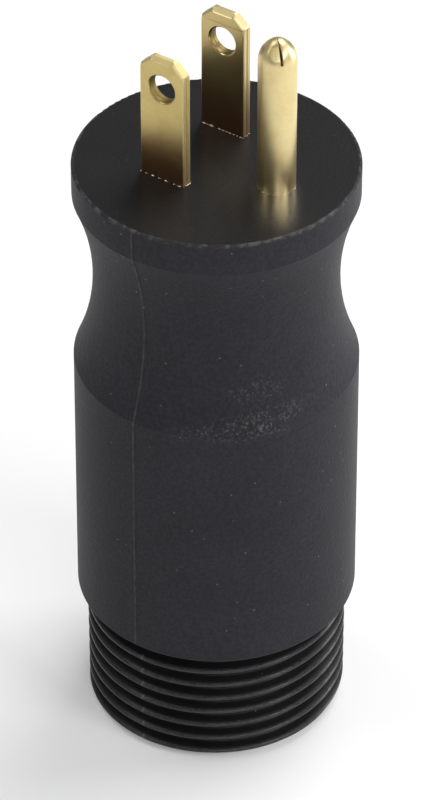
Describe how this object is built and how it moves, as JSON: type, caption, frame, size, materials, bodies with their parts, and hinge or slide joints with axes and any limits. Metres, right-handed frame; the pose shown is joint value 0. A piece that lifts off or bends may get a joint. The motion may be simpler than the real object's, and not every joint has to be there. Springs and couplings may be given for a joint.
{
  "type": "shore power plug adapter",
  "caption": "Moulded power adapter: flat-blade plug with ground pin on a waisted grip, and a threaded locking socket with curved slots at the foot.",
  "frame": {"origin": "centre of the threaded foot's flat end face, which the adapter stands on", "axes": "+Z along the body axis up to the plug blades; the blades lie side by side along X and the ground pin is on the -Y side"},
  "size_m": [0.0364, 0.0364, 0.1051],
  "materials": {
    "soft_overmould": "matt charcoal flexible moulding",
    "hard_housing": "hard black moulding, satin",
    "block_plastic": "black insulating plastic",
    "carrier_plastic": "brown insulating plastic",
    "core_plastic": "grey inner moulding",
    "blade_brass": "bright rolled brass",
    "contact_brass": "dull stamped brass",
    "spring_steel": "plated spring steel",
    "insulation_black": "black wire insulation",
    "insulation_white": "white wire insulation",
    "insulation_green": "green wire insulation",
    "copper": "bare stranded copper"
  },
  "bodies": {
    "root": {"body_overmould": "soft_overmould", "threaded_shell": "hard_housing", "socket_block": "block_plastic", "contact_carrier": "carrier_plastic", "inner_premould": "core_plastic", "blade_carrier": "carrier_plastic", "blade_line": "blade_brass", "blade_neutral": "blade_brass", "ground_pin": "blade_brass", "contact_line": "contact_brass", "contact_neutral": "contact_brass", "contact_ground": "contact_brass", "contact_spring_line": "spring_steel", "contact_spring_neutral": "spring_steel", "contact_spring_ground": "spring_steel", "wire_line": "insulation_black", "wire_neutral": "insulation_white", "wire_ground": "insulation_green", "conductor_line": "copper", "conductor_neutral": "copper", "conductor_ground": "copper"}
  },
  "joints": []
}
